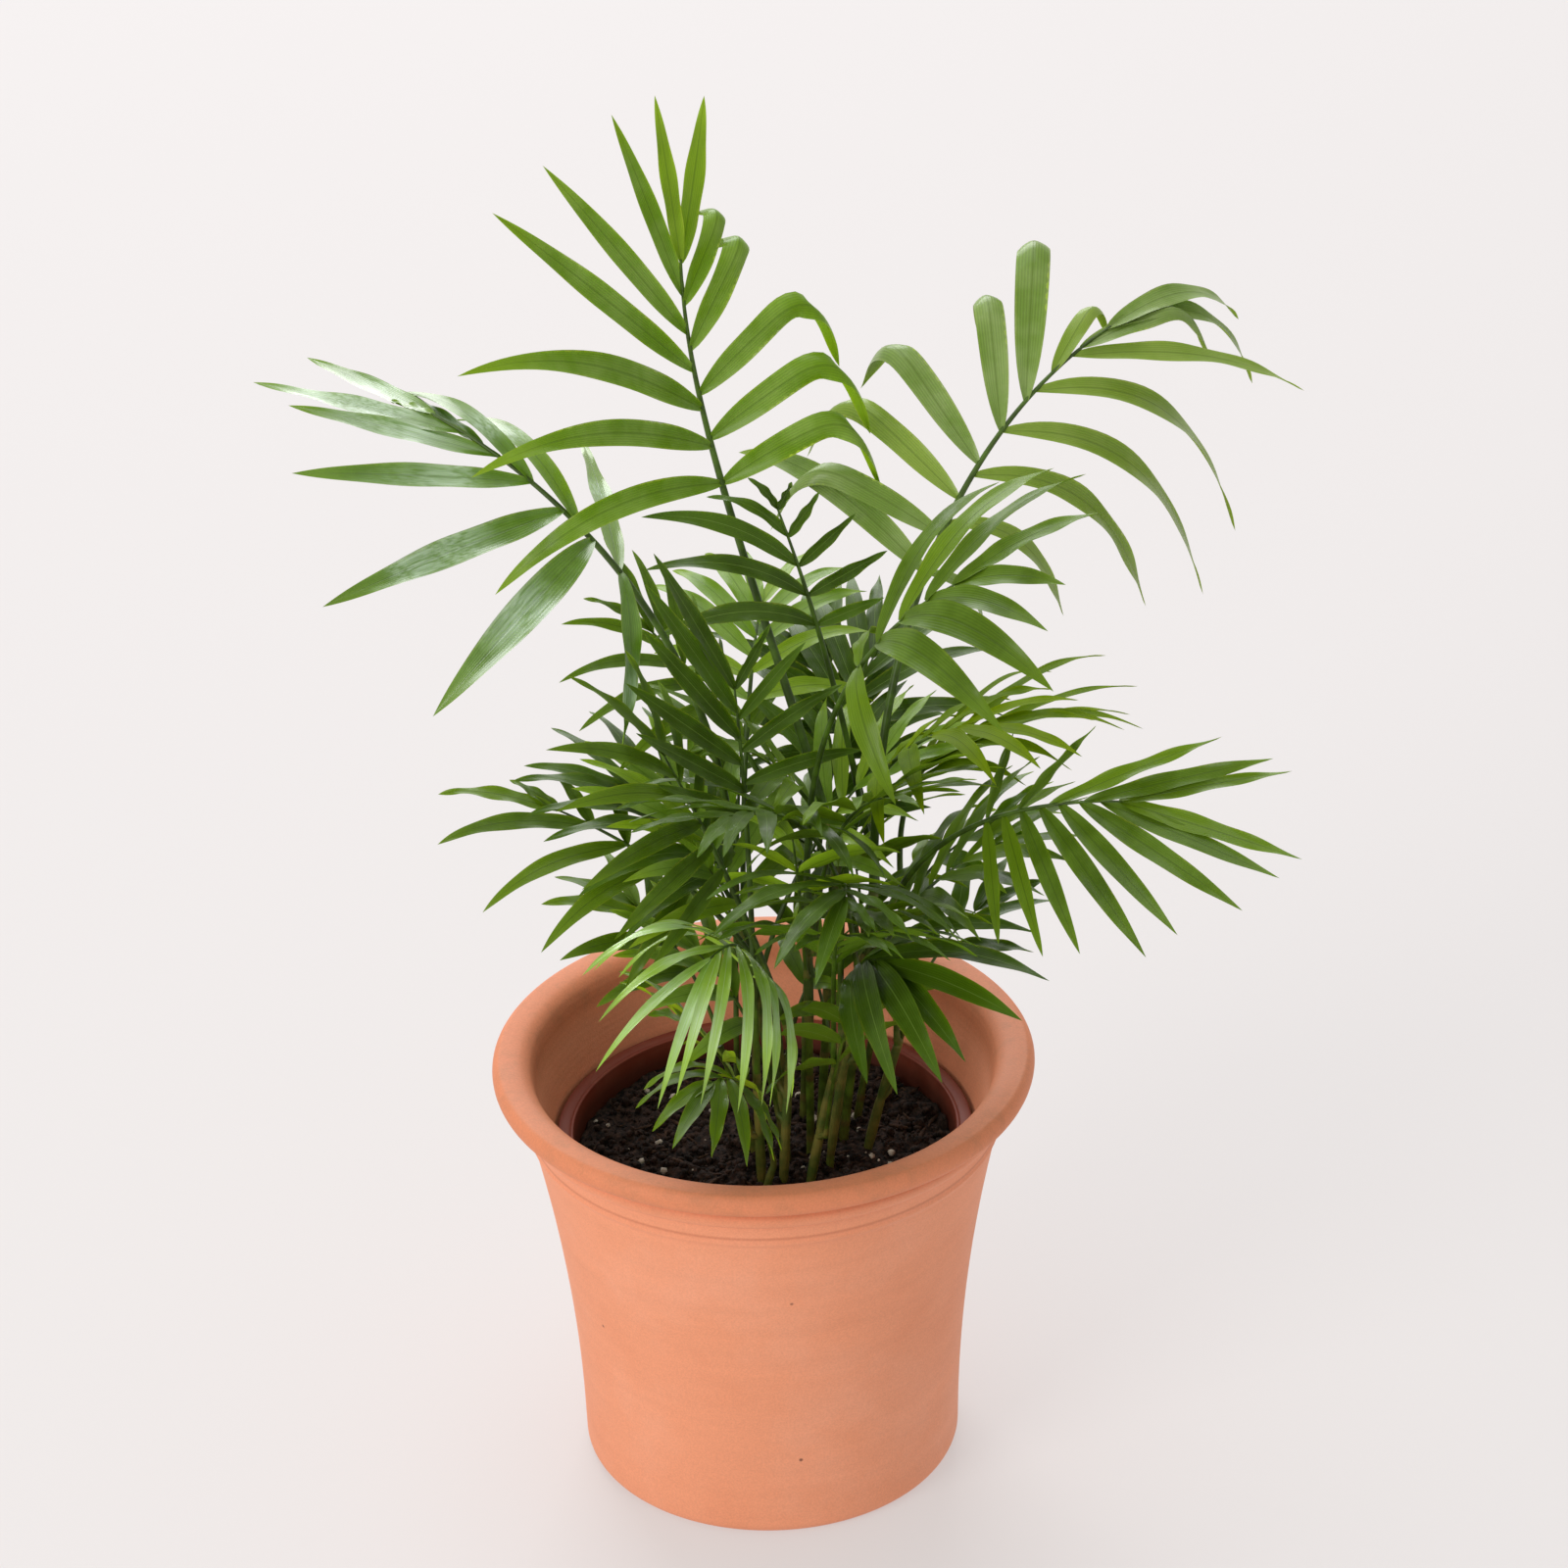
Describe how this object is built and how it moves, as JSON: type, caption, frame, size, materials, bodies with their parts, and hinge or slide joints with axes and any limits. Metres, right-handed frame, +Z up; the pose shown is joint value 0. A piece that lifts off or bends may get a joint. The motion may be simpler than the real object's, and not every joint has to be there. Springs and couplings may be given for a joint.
{
  "type": "potted parlour palm",
  "caption": "Bushy parlour palm with arching feathery fronds on slim stems, rooted in compost in a plastic nursery pot that stands inside a flared terracotta pot.",
  "frame": {"origin": "centre of the terracotta pot's flat underside", "axes": "+Z up through the pot and the plant, +X to the right and +Y away from the viewer in the view that shows the tall arching frond at the right"},
  "size_m": [0.4617, 0.3883, 0.6638],
  "materials": {
    "terracotta": "unglazed, matte, lightly scuffed",
    "nursery_plastic": "moulded polypropylene, satin",
    "compost": "moist, crumbly, with white perlite",
    "stem": "green ringed cane with papery sheaths",
    "leaf_green": "living leaf, satin",
    "leaf_dark": "living leaf, glossy",
    "leaf_bright": "young leaf, satin",
    "leaf_yellow": "young leaf, satin"
  },
  "bodies": {
    "root": {"terracotta_pot": "terracotta", "nursery_pot": "nursery_plastic", "soil": "compost", "stem_a": "stem", "stem_b": "stem", "stem_c": "stem", "stem_d": "stem", "stem_e": "stem", "stem_f": "stem", "stem_g": "stem", "stem_h": "stem", "stem_i": "stem", "stem_j": "stem", "stem_k": "stem", "stem_l": "stem", "stem_m": "stem", "stem_n": "stem", "stem_o": "stem", "frond_top": "leaf_green", "frond_right_tall": "leaf_green", "frond_left_lean": "leaf_green", "frond_left_lower": "leaf_green", "frond_front_small": "leaf_green", "frond_right_front": "leaf_green", "frond_mid_right": "leaf_green", "frond_inner_01": "leaf_green", "frond_inner_02": "leaf_green", "frond_inner_03": "leaf_green", "frond_inner_04": "leaf_green", "frond_inner_05": "leaf_green", "frond_inner_06": "leaf_green", "frond_inner_07": "leaf_green", "frond_inner_08": "leaf_green", "frond_inner_09": "leaf_green", "frond_inner_10": "leaf_green", "frond_inner_11": "leaf_green", "frond_inner_12": "leaf_green", "frond_inner_13": "leaf_green", "frond_inner_14": "leaf_green", "frond_centre_vee": "leaf_dark", "frond_upper_dark": "leaf_dark", "frond_left_long": "leaf_dark", "frond_front_dark": "leaf_dark", "frond_back_left": "leaf_dark", "frond_front_bright": "leaf_bright", "frond_right_low": "leaf_bright", "frond_right_yellow": "leaf_yellow"}
  },
  "joints": []
}
